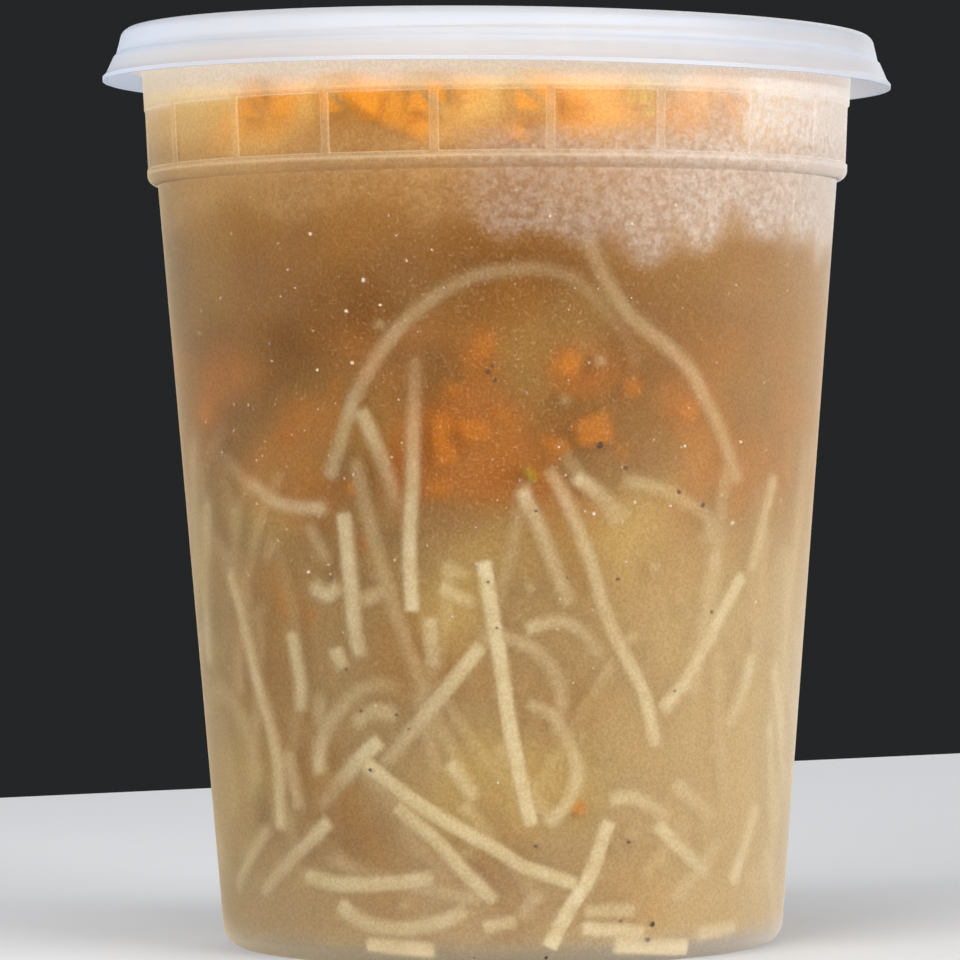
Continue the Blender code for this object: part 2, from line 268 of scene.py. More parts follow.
# Dark and white specks on the inside of the wall: pixel, size in pixels
DARK_SPECKS = [
    (600, 445, 6.0), (464, 260, 3.0), (488, 372, 4.4), (495, 380, 4.0), (492, 366, 3.0),
    (679, 492, 4.5), (703, 505, 4.5), (618, 579, 2.6),
    (536, 511, 3.0), (346, 669, 3.4), (396, 715, 3.0), (361, 711, 3.0), (370, 770, 3.4), (295, 943, 4.0),
    (474, 957, 3.6), (629, 842, 4.4), (536, 846, 4.0), (621, 921, 3.2), (652, 924, 6.0), (648, 940, 5.0),
    (546, 957, 5.0), (331, 578, 3.0), (497, 628, 2.4), (488, 582, 2.4), (409, 729, 2.4), (675, 691, 2.4),
    (712, 612, 3.4), (626, 468, 3.4), (567, 578, 2.4),
]
WHITE_SPECKS = [
    (594, 514, 4.0), (756, 602, 3.4), (733, 523, 4.0), (308, 572, 3.4), (310, 234, 3.6), (363, 280, 4.6),
    (346, 311, 3.2), (380, 305, 3.0), (352, 363, 3.4), (317, 370, 2.8), (685, 446, 3.4), (741, 442, 3.2),
    (635, 502, 3.0), (671, 506, 2.8), (550, 216, 3.2), (632, 224, 3.6), (676, 205, 3.0), (498, 783, 2.4),
]

# Specks: the same, then light and dark colour, and whether loose ones lie at the front too
SPECKS = {
    "pepper_specks": (DARK_SPECKS, 120, 4, 110, 0.45, (92, 66, 50), (40, 32, 34), False),
    "fat_droplets": (WHITE_SPECKS, 420, 30, 124, 0.28, (238, 222, 200), (216, 192, 160), True),
}
SPECK_SPREAD = 1.1

# Least and most depth of loose pieces and specks, and depth of the seen specks, in mm. Below 0 is in the wall
LOOSE_DEPTHS = (0.8, 4.5)
LOOSE_SPECK_DEPTHS = (-0.5, -0.4)
SPECK_DEPTH = -0.6

# Food in the broth: light colour, dark colour, colour at the top, scale of its speckle, the depths behind the
# wall where the broth begins to hide it and hides it most, and how much of it is hidden there
FOODS = {
    "noodle_dough": ((216, 200, 162), (200, 181, 138), (236, 210, 150), 420, 0.0, 3.3 * MM, 1.0),
    "carrot_flesh": ((200, 120, 34), (176, 98, 26), (232, 146, 38), 500, 0.8 * MM, 6.5 * MM, 0.85),
    "celery_flesh": ((190, 170, 60), (160, 146, 48), (228, 200, 84), 500, 0.8 * MM, 5.0 * MM, 1.0),
    "chicken_crumb": ((228, 208, 162), (208, 182, 132), (236, 210, 150), 700, 0.0, 3.3 * MM, 1.0),
}

# Thickness of a small piece as a share of its size
THICKNESS = {"die": 0.85, "ball": 0.9, "flake": 0.35}

# A point that is nearer to the camera by this share of its radius is on the side that the photograph shows
FRONT_SHARE = 0.40

# Unevenness of the pieces that float
DENT = 0.25 * MM
DENTS_PER_METRE = 420


def srgb(red, green, blue):
    """Linear colour with alpha 1 from display values of 0 to 255."""
    values = [channel / 255 for channel in (red, green, blue)]
    return (*[v / 12.92 if v <= 0.04045 else ((v + 0.055) / 1.055) ** 2.4 for v in values], 1.0)


def soft_step(value, low, high):
    """0 at the low value and 1 at the high one, with a smooth way between."""
    share = min(max((value - low) / (high - low), 0.0), 1.0)
    return share * share * (3 - 2 * share)


def bell(off, width):
    """1 in the middle of a line, less with the distance from it."""
    return math.exp(-((off / width) ** 2))


# Sizes that several pieces share


def body_radius(z):
    return BODY_BOTTOM_RADIUS + BODY_TAPER * (z - CORNER_RADIUS)


def band_radius(z):
    return body_radius(SHOULDER_HEIGHT) + SHOULDER_RADIUS + BAND_TAPER * (z - WINDOW_BOTTOM)


def outer_radius(z):
    return body_radius(z) if z < SHOULDER_HEIGHT + SHOULDER_RADIUS else band_radius(z)


def inner_radius(z):
    return outer_radius(z) - WALL


def arc(centre, radius, start, end, steps):
    """Points (radius from the axis, height) along an arc, angles in degrees from outwards, +90 up."""
    angles = [math.radians(start + (end - start) * i / steps) for i in range(steps + 1)]
    return [(centre[0] + radius * math.cos(a), centre[1] + radius * math.sin(a)) for a in angles]


def between(first, last, count):
    """Evenly spaced points of a straight run of a profile, without its ends."""
    shares = [(i + 1) / (count + 1) for i in range(count)]
    return [tuple(a + (b - a) * share for a, b in zip(first, last)) for share in shares]


def new_object(name, data):
    made = bpy.data.objects.new(name, data)
    bpy.context.scene.collection.objects.link(made)
    return made


# Camera and the way from a pixel into the tub


def camera_matrix():
    way = Vector((-math.sin(YAW) * math.cos(PITCH), math.cos(YAW) * math.cos(PITCH), -math.sin(PITCH)))
    turned = way.to_track_quat("-Z", "Y").to_matrix().to_4x4()
    return Matrix.Translation(EYE) @ turned @ Matrix.Rotation(-ROLL, 4, "Z")


def make_camera():
    data = bpy.data.cameras.new("camera")
    data.sensor_width = SENSOR_MM
    data.lens = FOCAL / PHOTO * SENSOR_MM
    data.clip_start = 0.01
    data.clip_end = 20
    camera = new_object("camera", data)
    camera.matrix_world = camera_matrix()
    bpy.context.scene.camera = camera


def meet(start, way, radius_at):
    """The first point of a ray on a round surface whose radius depends on the height."""
    point = start
    z = start.z + way.z * abs(start.y) / max(way.y, 0.01)
    for _ in range(RAY_ROUNDS):
        radius = radius_at(z)
        a = way.x**2 + way.y**2
        b = start.x * way.x + start.y * way.y
        c = start.x**2 + start.y**2 - radius**2
        distance = (-b - math.sqrt(max(b * b - a * c, 0.0))) / a
        point = start + way * distance
        z = point.z
    return point


def spot(u, v, depth):
    """The point seen at a pixel, bent by the wall, that lies this deep behind the inside of the wall."""
    lens = Vector(((u - PHOTO / 2) / FOCAL, (PHOTO / 2 - v) / FOCAL, -1))
    way = (camera_matrix().to_3x3() @ lens).normalized()
    hit = meet(EYE, way, outer_radius)
    normal = Vector((hit.x, hit.y, 0)).normalized()
    slant = -way.dot(normal)
    bent = way / WATER + normal * (slant / WATER - math.sqrt(max(1 - (1 - slant**2) / WATER**2, 0.0)))
    return meet(hit, bent.normalized(), lambda z: inner_radius(z) - depth)


def wall_spot(angle, z, depth):
    """The point at an angle from the front and a height, this deep behind the inside of the wall."""
    radius = inner_radius(z) - depth
    return Vector((radius * math.sin(angle), -radius * math.cos(angle), z))


# Meshes


def add_piece(name, mesh, finish, replaced=()):
    """An object that rides on the tub, shaded smooth, with its finish."""
    mesh.materials.append(finish)
    mesh.shade_smooth()
    piece = new_object(name, mesh)
    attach(piece, "root")
    if replaced:
        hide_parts(*replaced)
    return piece


def turned_mesh(name, profile, angles, relief=None, sharp=40):
    """A surface of revolution whose profile starts and ends on the axis and runs down its outer side.

    relief(angle, radius, z) gives how far a point is set in and how much its edge shows.
    """
    mesh = bpy.data.meshes.new(name)
    shape = bmesh.new()
    shows = shape.verts.layers.float.new("edge")
    rows = []
    for radius, z in profile:
        if radius < 1e-7:
            rows.append([shape.verts.new((0, 0, z))])
            continue
        row = []
        for angle in angles:
            inset, edge = relief(angle, radius, z) if relief else (0.0, 0.0)
            r = radius - inset
            vert = shape.verts.new((r * math.sin(angle), -r * math.cos(angle), z))
            vert[shows] = edge
            row.append(vert)
        rows.append(row)
    count = len(angles)
    for upper, lower in zip(rows, rows[1:]):
        for i in range(count):
            j = (i + 1) % count
            ring = [upper[i % len(upper)], lower[i % len(lower)]]
            ring += [lower[j % len(lower)], upper[j % len(upper)]]
            corners = list(dict.fromkeys(ring))
            if len(corners) > 2:
                shape.faces.new(corners)
    shape.to_mesh(mesh)
    shape.free()
    mesh.set_sharp_from_angle(angle=math.radians(sharp))
    return mesh


def even_angles(count):
    """Angles from the front, once round."""
    return [math.tau * i / count for i in range(count)]


def unit_form(kind):
    """Corners and faces of a bevelled die or a ball, one metre across."""
    form = bmesh.new()
    if kind == "die":
        bmesh.ops.create_cube(form, size=1.0)
        bmesh.ops.bevel(form, geom=form.edges[:], offset=0.18, segments=2, profile=0.6, affect="EDGES")
    else:
        bmesh.ops.create_icosphere(form, subdivisions=2, radius=0.5)
    form.verts.index_update()
    corners = [vert.co.copy() for vert in form.verts]
    faces = [[vert.index for vert in face.verts] for face in form.faces]
    form.free()
    return corners, faces


DIE = unit_form("die")
BALL = unit_form("ball")


def blob(shape, spot_at, size, draw, kind, tint):
    """One small uneven solid: a bevelled die, a ball, or a flake, turned at random."""
    tints = shape.verts.layers.float.get("tint") or shape.verts.layers.float.new("tint")
    corners, faces = DIE if kind == "die" else BALL
    long, wide = size * draw.uniform(0.8, 1.2), size * draw.uniform(0.7, 1.1)
    stretch = Matrix.Diagonal((long, wide, size * THICKNESS[kind], 1))
    axis = Vector([draw.uniform(-1, 1) for _ in range(3)]).normalized()
    turn = Matrix.Rotation(draw.uniform(0, math.tau), 4, axis)
    shift = Vector([draw.uniform(0, 50) for _ in range(3)])
    made = []
    for corner in corners:
        uneven = corner + 0.16 * noise.noise_vector(corner * 1.6 + shift)
        vert = shape.verts.new(spot_at + (turn @ stretch @ uneven.to_4d()).to_3d())
        vert[tints] = tint
        made.append(vert)
    for face in faces:
        shape.faces.new([made[i] for i in face])


def smooth_route(points, step):
    """Points along a Catmull-Rom curve through the given ones, about one step apart."""
    padded = [2 * points[0] - points[1], *points, 2 * points[-1] - points[-2]]
    route = []
    for before, first, last, after in zip(padded, padded[1:], padded[2:], padded[3:]):
        count = max(1, round((last - first).length / step))
        for i in range(count):
            t = i / count
            slope = (last - before) * t
            square = (2 * before - 5 * first + 4 * last - after) * t**2
            cube = (3 * first - before - 3 * last + after) * t**3
            route.append(0.5 * (2 * first + slope + square + cube))
    route.append(points[-1])
    return route


def squared_off(value):
    """Moves a circle's coordinate out towards a square's."""
    return math.copysign(abs(value) ** NOODLE_SQUARENESS, value)


def noodle(shape, points, width, tint):
    """A flat noodle with soft edges and square ends, its broad side to the wall."""
    tints = shape.verts.layers.float.get("tint") or shape.verts.layers.float.new("tint")
    route = smooth_route(points, NOODLE_STEP)
    outline = []
    for angle in even_angles(NOODLE_SIDES):
        across = 0.5 * width * squared_off(math.cos(angle))
        outline.append((across, 0.5 * NOODLE_THICKNESS * squared_off(math.sin(angle))))
    rings = []
    for i, point in enumerate(route):
        along = (route[min(i + 1, len(route) - 1)] - route[max(i - 1, 0)]).normalized()
        outwards = Vector((point.x, point.y, 0)).normalized()
        side = along.cross(outwards).normalized()
        front = side.cross(along)
        swell = 1 + 0.06 * noise.noise(point * 300)
        rings.append([shape.verts.new(point + side * x * swell + front * y) for x, y in outline])
    for vert in (vert for ring in rings for vert in ring):
        vert[tints] = tint
    for ring, after in zip(rings, rings[1:]):
        for i in range(NOODLE_SIDES):
            j = (i + 1) % NOODLE_SIDES
            shape.faces.new((ring[i], after[i], after[j], ring[j]))
    shape.faces.new(rings[0])
    shape.faces.new(list(reversed(rings[-1])))


def finish_mesh(name, shape, sharp=50):
    """The shape as a mesh with its faces pointing out."""
    bmesh.ops.recalc_face_normals(shape, faces=shape.faces)
    mesh = bpy.data.meshes.new(name)
    shape.to_mesh(mesh)
    shape.free()
    mesh.set_sharp_from_angle(angle=math.radians(sharp))
    return mesh


# Node graphs


class Graph:
    """Short calls for a material's nodes. A value is a number, a colour or another node's socket."""

    def __init__(self, tree):
        self.tree = tree
        self.tree.nodes.clear()

    def node(self, kind, inputs=None, **settings):
        made = self.tree.nodes.new(f"ShaderNode{kind}")
        for name, value in settings.items():
            setattr(made, name, value)
        for key, value in (inputs or {}).items():
            self.join(value, made.inputs[key])
        return made

    def join(self, value, socket):
        if isinstance(value, bpy.types.NodeSocket):
            self.tree.links.new(value, socket)
        else:
            socket.default_value = value

    def math(self, operation, first, second=0.0, clamp=False):
        inputs = {0: first, 1: second}
        return self.node("Math", inputs, operation=operation, use_clamp=clamp).outputs[0]

    def times(self, first, *others):
        for other in others:
            first = self.math("MULTIPLY", first, other)
        return first

    def plus(self, first, *others):
        for other in others:
            first = self.math("ADD", first, other)
        return first

    def step(self, value, low, high, first=0.0, last=1.0):
        """A smooth way from the first result to the last one between two values."""
        inputs = {"Value": value, "From Min": low, "From Max": high, "To Min": first, "To Max": last}
        return self.node("MapRange", inputs, interpolation_type="SMOOTHSTEP").outputs[0]

    def mix(self, factor, first, last):
        inputs = {0: factor, 6: first, 7: last}
        return self.node("Mix", inputs, data_type="RGBA", clamp_factor=True).outputs[2]

    def noise(self, place, scale, detail, roughness=0.5):
        inputs = {"Vector": place, "Scale": scale, "Detail": detail, "Roughness": roughness}
        return self.node("TexNoise", inputs).outputs["Fac"]

    def noises(self, place, scale):
        """Three plain noises that don't follow each other."""
        inputs = {"Vector": place, "Scale": scale, "Detail": 0.0}
        return self.split(self.node("TexNoise", inputs).outputs["Color"])

    def ramp(self, factor, stops):
        """A colour ramp whose stops are positions with display colours."""
        made = self.node("ValToRGB", {"Fac": factor})
        band = made.color_ramp
        while len(band.elements) > 1:
            band.elements.remove(band.elements[-1])
        band.elements[0].position = stops[0][0]
        band.elements[0].color = srgb(*stops[0][1])
        for position, colour in stops[1:]:
            band.elements.new(position).color = srgb(*colour)
        return made.outputs["Color"]

    def place(self):
        return self.node("TexCoord").outputs["Object"]

    def split(self, place):
        return self.node("SeparateXYZ", {0: place}).outputs[:3]

    def ground(self, x, y):
        return self.node("CombineXYZ", {0: x, 1: y}).outputs[0]

    def attribute(self, name):
        return self.node("Attribute", attribute_name=name).outputs["Fac"]

    def group(self, tree):
        return self.node("Group", node_tree=tree).outputs[0]

    def facing(self, **inputs):
        """0 where the surface faces the ray, 1 where it is seen edge on."""
        return self.node("LayerWeight", {"Blend": 0.5, **inputs}).outputs["Facing"]

    def bump(self, height, distance, strength):
        inputs = {"Strength": strength, "Distance": distance, "Height": height}
        return self.node("Bump", inputs).outputs[0]

    def principled(self, **inputs):
        named = {name.replace("_", " "): value for name, value in inputs.items()}
        return self.node("BsdfPrincipled", named).outputs[0]

    def matt(self, **inputs):
        return self.principled(Roughness=0.5, Specular_IOR_Level=0.0, **inputs)

    def refraction(self, colour, roughness, ior, normal):
        inputs = {"Color": colour, "Roughness": roughness, "IOR": ior, "Normal": normal}
        return self.node("BsdfRefraction", inputs).outputs[0]

    def clear(self):
        return self.node("BsdfTransparent").outputs[0]

    def shadow_rays(self):
        return self.node("LightPath").outputs["Is Shadow Ray"]

    def blend(self, factor, first, last):
        return self.node("MixShader", {0: factor, 1: first, 2: last}).outputs[0]

    def surface(self, shader):
        self.node("OutputMaterial", {"Surface": shader})


def new_material(name):
    made = bpy.data.materials.new(name)
    made.use_nodes = True
    return made, Graph(made.node_tree)


def make_broth_colour():
    """The broth's colour by height and cloud, with painted light low on its right side, as a node group that
    all sunk pieces fade into.
    """
    group = bpy.data.node_groups.new("broth_colour", "ShaderNodeTree")
    group.interface.new_socket("Color", in_out="OUTPUT", socket_type="NodeSocketColor")
    graph = Graph(group)
    place = graph.place()
    x, _, z = graph.split(place)
    wide = graph.noises(place, 48)
    elsewhere = graph.node("VectorMath", {0: place, 1: (0.3, 0.1, 0)}, operation="ADD").outputs[0]
    fine = graph.noises(elsewhere, 85)
    wave = graph.times(graph.plus(wide[0], -0.5), 18 * MM)
    colour = graph.ramp(graph.math("DIVIDE", graph.plus(z, wave), RAMP_HEIGHT), BROTH_COLOURS)

    # Clouds of a darker and a paler broth
    lower = graph.step(z, 85 * MM, 60 * MM, 0.15, 0.5)
    colour = graph.mix(graph.step(wide[1], 0.52, 0.70, 0.0, 0.45), colour, srgb(148, 98, 42))
    colour = graph.mix(graph.step(wide[2], 0.52, 0.72, 0.0, lower), colour, srgb(184, 154, 88))
    colour = graph.mix(graph.step(fine[0], 0.54, 0.74, 0.0, 0.40), colour, srgb(128, 90, 58))

    # Carrot that is too deep to have an outline, in a belt at mid height and at the top
    belt = graph.times(graph.step(z, 60 * MM, 72 * MM), graph.step(z, 98 * MM, 86 * MM))
    rust = graph.times(graph.step(fine[1], 0.44, 0.66, 0.0, 0.5), belt)
    colour = graph.mix(rust, colour, srgb(176, 98, 36))
    top = graph.step(z, WINDOW_BOTTOM, WINDOW_BOTTOM + 5 * MM)
    ember = graph.times(graph.step(fine[2], 0.46, 0.60, 0.0, 0.55), top)
    colour = graph.mix(ember, colour, srgb(230, 144, 36))

    # Painted light: the broth is paler low on the right side, where the light falls
    painted_light_right_low = graph.times(graph.step(x, 2 * MM, 34 * MM, 0.0, 0.5), graph.step(z, NOODLE_TOP, 52 * MM))
    colour = graph.mix(painted_light_right_low, colour, srgb(188, 156, 102))
    graph.join(colour, group.nodes.new("NodeGroupOutput").inputs["Color"])
    return group


def depth_of(graph, place):
    """How deep a point lies behind the inside of the wall."""
    x, y, z = graph.split(place)
    ground = graph.ground(x, y)
    radius = graph.node("VectorMath", {0: ground}, operation="LENGTH").outputs["Value"]
    body = graph.plus(graph.times(z, BODY_TAPER), inner_radius(0.0))
    band = graph.plus(graph.times(z, BAND_TAPER), inner_radius(WINDOW_TOP) - BAND_TAPER * WINDOW_TOP)
    above = graph.math("GREATER_THAN", z, SHOULDER_HEIGHT + SHOULDER_RADIUS)
    wall = graph.plus(body, graph.times(above, graph.math("SUBTRACT", band, body)))
    return graph.math("SUBTRACT", wall, radius)


def sunk_material(name, broth_colour):
    """A soft food, brighter at the top, whose colour turns to the broth's with its depth behind the wall."""
    light, dark, high, grain, fade_from, fade_to, most = FOODS[name]
    made, graph = new_material(name)
    place = graph.place()
    speckle = graph.plus(graph.noise(place, grain, 1, 0.6), graph.attribute("tint"))
    own = graph.mix(graph.step(speckle, 0.35, 0.85), srgb(*dark), srgb(*light))
    at_top = graph.step(graph.split(place)[2], 112 * MM, 121 * MM, 0.0, 0.75)
    own = graph.mix(at_top, own, srgb(*high))
    fade = graph.step(depth_of(graph, place), fade_from, fade_to, 0.0, most)
    colour = graph.mix(fade, own, graph.group(broth_colour))
    dents = graph.bump(graph.noise(place, 2.2 * grain, 0), 0.12 * MM, 0.5)
    graph.surface(graph.matt(Base_Color=colour, Normal=dents))
    return made


def frost_shader(graph, glass, veil, cover):
    """Frosted plastic: rough glass under a veil, with light let through and the inner face left clear."""
    inner = graph.node("NewGeometry").outputs["Backfacing"]
    skipped = graph.math("MAXIMUM", graph.shadow_rays(), inner)
    return graph.blend(skipped, graph.blend(cover, glass, veil), graph.clear())


def let_light_by(piece):
    """Lamps and light that bounces between the contents pass a thin clear piece unhindered."""
    piece.visible_shadow = False
    piece.visible_diffuse = False


def wall_normal(graph, x, y, z):
    """The surface's normal, turned level up to the band, so that the step draws no bright stripe."""
    settings = {"vector_type": "NORMAL", "convert_from": "OBJECT", "convert_to": "WORLD"}
    level = graph.node("VectorTransform", {0: graph.ground(x, y)}, **settings).outputs[0]
    above_foot = graph.step(z, 4 * MM, 7 * MM)
    below_band = graph.step(z, WINDOW_BOTTOM, WINDOW_BOTTOM - 0.8 * MM, 0.0, 0.75)
    own = graph.node("NewGeometry").outputs["Normal"]
    return graph.mix(graph.times(above_foot, below_band), own, level)


def tub_material():
    """Frosted plastic with a fine grain, whiter at its rim and foot and where it is seen edge on, with
    painted highlight lines at its edges.
    """
    made, graph = new_material("tub_frosted")
    place = graph.place()
    x, y, z = graph.split(place)
    normal = wall_normal(graph, x, y, z)
    grain = graph.noise(place, 2400, 1, 0.75)
    tone = graph.mix(graph.step(grain, 0.30, 0.70), (0.84, 0.83, 0.82, 1), (1, 1, 1, 1))
    glass = graph.refraction(tone, FROST, WATER, normal)
    pale = graph.ramp(graph.math("DIVIDE", z, RAMP_HEIGHT), WALL_COLOURS)
    milk = graph.mix(graph.step(x, 0.0, 40 * MM), srgb(248, 224, 182), pale)
    veil = graph.principled(Base_Color=milk, Roughness=0.55, Normal=normal)
    # Painted highlight lines at the window edges and the frame
    edge = graph.times(graph.attribute("edge"), 0.28)
    rim = graph.step(z, 126.8 * MM, 128.8 * MM, 0.0, 0.16)
    facing = graph.facing(Normal=normal)
    slant = graph.times(graph.math("POWER", facing, 2.2), 0.34)
    outline = graph.times(graph.math("POWER", facing, 8.0), 0.4)
    collar = graph.step(z, 114.5 * MM, 116.5 * MM, 0.0, 0.06)
    collar = graph.times(collar, graph.step(z, 118.5 * MM, 117.0 * MM))
    base = graph.step(z, 6 * MM, 1 * MM, 0.0, 0.27)
    fleck = graph.step(grain, 0.56, 0.80, 0.0, 0.12)
    cover = graph.math("ADD", graph.plus(edge, rim, slant, outline, base, collar), fleck, clamp=True)
    graph.surface(frost_shader(graph, glass, veil, cover))
    return made


def lid_material():
    """Whiter frosted plastic than the tub's, a little bluer at its left end, where cool light is painted."""
    made, graph = new_material("lid_frosted")
    place = graph.place()
    grain = graph.times(graph.noise(place, 1300, 2, 0.6), 0.4)
    normal = graph.bump(graph.plus(grain, graph.noise(place, 220, 2)), 0.03 * MM, 0.6)
    look = {"Base_Color": (1, 1, 1, 1), "Roughness": 0.45, "IOR": 1.2, "Transmission_Weight": 1.0}
    glass = graph.principled(Normal=normal, **look)
    milk = graph.mix(graph.noise(place, 90, 2), srgb(202, 210, 224), srgb(214, 220, 230))
    # Painted cool light: the lid turns bluer towards its left end
    milk = graph.mix(graph.step(graph.split(place)[0], -38 * MM, -58 * MM), milk, srgb(214, 228, 250))
    front = graph.principled(Base_Color=milk, Roughness=0.38, Normal=normal, Specular_IOR_Level=0.3)
    through = graph.node("BsdfTranslucent", {"Color": milk, "Normal": normal}).outputs[0]
    veil = graph.blend(0.35, front, through)
    slant = graph.times(graph.math("POWER", graph.facing(), 3.0), 0.25)
    cover = graph.plus(graph.times(graph.attribute("edge"), 0.35), 0.62)
    cover = graph.math("ADD", cover, slant, clamp=True)
    graph.surface(frost_shader(graph, glass, veil, cover))
    return made


def haze_material(broth_colour):
    """The broth next to the wall: half clear, with clouds, and with mist on the wall near the top."""
    made, graph = new_material("broth_haze")
    place = graph.place()
    x, y, z = graph.split(place)
    broth = graph.group(broth_colour)

    # The angle is 0 at the front. It jumps at the back, where nothing depends on it
    angle = graph.math("ARCTAN2", x, graph.times(y, -1))
    right_end = graph.step(angle, 2.6, 2.0)
    left_end = graph.step(angle, -2.6, -2.0)
    right = graph.times(graph.step(angle, -0.16, 0.02), right_end)
    pane = graph.step(z, 119 * MM, 123 * MM)
    low = graph.step(z, NOODLE_TOP, 50 * MM)

    # Mist of droplets above a wavy edge, thicker to the right
    wander = graph.plus(graph.noise(place, 70, 1, 0.6), -0.5)
    mist_edge = graph.plus(graph.times(right, -5 * MM), 110 * MM, graph.times(wander, 16 * MM))
    above = graph.step(graph.math("SUBTRACT", z, mist_edge), -2.5 * MM, 2.5 * MM)
    mottle = graph.step(graph.noise(place, 950, 1, 0.7), 0.34, 0.66, 0.46, 1.12)
    far = graph.times(graph.step(angle, 0.25, 0.75), right, 0.20)
    strength = graph.plus(far, graph.times(right, 0.01), 0.22)
    far_pane = graph.times(graph.step(angle, 0.68, 0.84), right, 0.6)
    extra = graph.times(pane, graph.plus(far_pane, -0.20))
    mist = graph.math("MULTIPLY", graph.times(above, graph.plus(strength, extra)), mottle, clamp=True)

    # A plain film that thickens towards both sides and thins out low at the front. The film is haze, but its
    # thickening to the right and on the left panes is painted light.
    # Painted light from the right: the film thickens from the front towards the right end
    side = graph.times(graph.step(angle, 0.8, 1.3, 0.0, 0.20), right_end)
    painted_light_rising = graph.times(graph.step(angle, 0.0, 0.8, 0.0, 0.18), right_end)
    front_low = graph.times(low, graph.step(graph.math("ABSOLUTE", angle), 0.02, 0.5, -0.08, -0.02))
    # Painted light from the left: a warm pale veil on the left panes
    left = graph.times(graph.step(angle, -0.6, -1.1), left_end, pane)
    mist = graph.plus(mist, side, front_low, painted_light_rising)
    mist = graph.math("ADD", mist, graph.times(left, 0.35), clamp=True)
    mist = graph.times(mist, graph.step(z, SOUP_LEVEL - 0.1 * MM, SOUP_LEVEL - 0.6 * MM))

    cloud = graph.step(graph.noise(place, 110, 1, 0.6), 0.34, 0.74, 0.17, 0.40)
    cloud = graph.times(cloud, graph.step(z, WINDOW_BOTTOM, WINDOW_BOTTOM + 4 * MM, 1.0, 0.35))
    cover = graph.math("ADD", cloud, mist, clamp=True)
    share = graph.math("DIVIDE", mist, graph.math("MAXIMUM", cover, 0.01))
    amber = graph.mix(low, srgb(210, 168, 114), srgb(230, 204, 156))
    droplets = graph.mix(graph.times(right, above), amber, srgb(220, 204, 190))
    # The painted light on the left panes is warm and pale
    droplets = graph.mix(left, droplets, srgb(232, 196, 134))
    colour = graph.mix(share, graph.mix(0.25, broth, srgb(200, 158, 96)), droplets)
    solid = graph.matt(Base_Color=colour, Alpha=cover)
    graph.surface(graph.blend(graph.shadow_rays(), solid, graph.clear()))
    return made


def core_material(broth_colour):
    """The broth that is too deep to see through."""
    made, graph = new_material("broth_core")
    normal = graph.bump(graph.noise(graph.place(), 160, 0), 0.4 * MM, 0.5)
    graph.surface(graph.matt(Base_Color=graph.group(broth_colour), Normal=normal))
    return made


def speck_material(name, light, dark):
    made, graph = new_material(name)
    colour = graph.mix(graph.noise(graph.place(), 2500, 2, 0.6), srgb(*dark), srgb(*light))
    graph.surface(graph.principled(Base_Color=colour, Roughness=0.45))
    return made


# Pieces


def window_share(angle, z):
    """How much of a window's full depth a point of the band has."""
    sector = math.tau / RIB_COUNT
    off = (angle - RIB_PHASE + sector / 2) % sector - sector / 2
    from_rib = abs(off) * band_radius(z) - 0.5 * RIB_WIDTH
    across = soft_step(from_rib, 0, EDGE)
    up = soft_step(z, WINDOW_BOTTOM, WINDOW_BOTTOM + EDGE) * soft_step(z, WINDOW_TOP, WINDOW_TOP - EDGE)
    return across * up


def band_relief(angle, radius, z):
    """Set-in windows between the ribs, and the painted highlight lines that their edges and the frame draw.
    """
    if radius < inner_radius(z) + 0.5 * WALL or not WINDOW_BOTTOM - MM < z < WINDOW_TOP + MM:
        return 0.0, 0.0
    share = window_share(angle, z)
    # Painted highlight lines above and below the windows and along their slanted edges
    line = 0.7 * (bell(z - UPPER_LINE, LINE_WIDTH) + bell(z - LOWER_LINE, LINE_WIDTH))
    frame_edge = max(3.4 * share * (1 - share), 0.32 * (1 - share))
    return share * WINDOW_DEPTH, min(frame_edge + line, 1.0)


def edge_offsets():
    """Where rows and columns of the tub's mesh lie across a window's slanted edge."""
    return [EDGE * i / 4 for i in range(5)]


def rib_angles():
    """Columns of the tub's mesh, close together at the ribs' edges."""
    angles = []
    sector = math.tau / RIB_COUNT
    offs = [(0.5 * RIB_WIDTH + off) / band_radius(WINDOW_TOP) for off in edge_offsets()]
    pane = sector - 2 * offs[-1]
    for middle in even_angles(RIB_COUNT):
        rib = RIB_PHASE + middle
        angles += [rib + off for off in offs]
        angles += [rib + offs[-1] + pane * (k + 1) / 10 for k in range(9)]
        angles += [rib + sector - off for off in reversed(offs)]
    return angles


def inside_profile(inset, top, floor_inset=None):
    """The tub's inside from the floor's centre up to a height, moved in by an inset."""
    floor = FOOT_RECESS + FLOOR + (inset if floor_inset is None else floor_inset)
    side = body_radius(floor + INNER_CORNER) - WALL - inset
    corner = arc((side - INNER_CORNER, floor + INNER_CORNER), INNER_CORNER, -90, 0, 8)
    shoulder_z = SHOULDER_HEIGHT + SHOULDER_RADIUS + 0.4 * (WALL + inset)
    shoulder = arc((body_radius(SHOULDER_HEIGHT) - WALL - inset, shoulder_z), SHOULDER_RADIUS, -90, 0, 6)
    base = [(0.0, floor), *between((0.0, floor), corner[0], 6)]
    body = between(corner[-1], shoulder[0], BODY_ROWS)
    last = (band_radius(top) - WALL - inset, top)
    return base + corner + body + shoulder + between(shoulder[-1], last, 5) + [last]


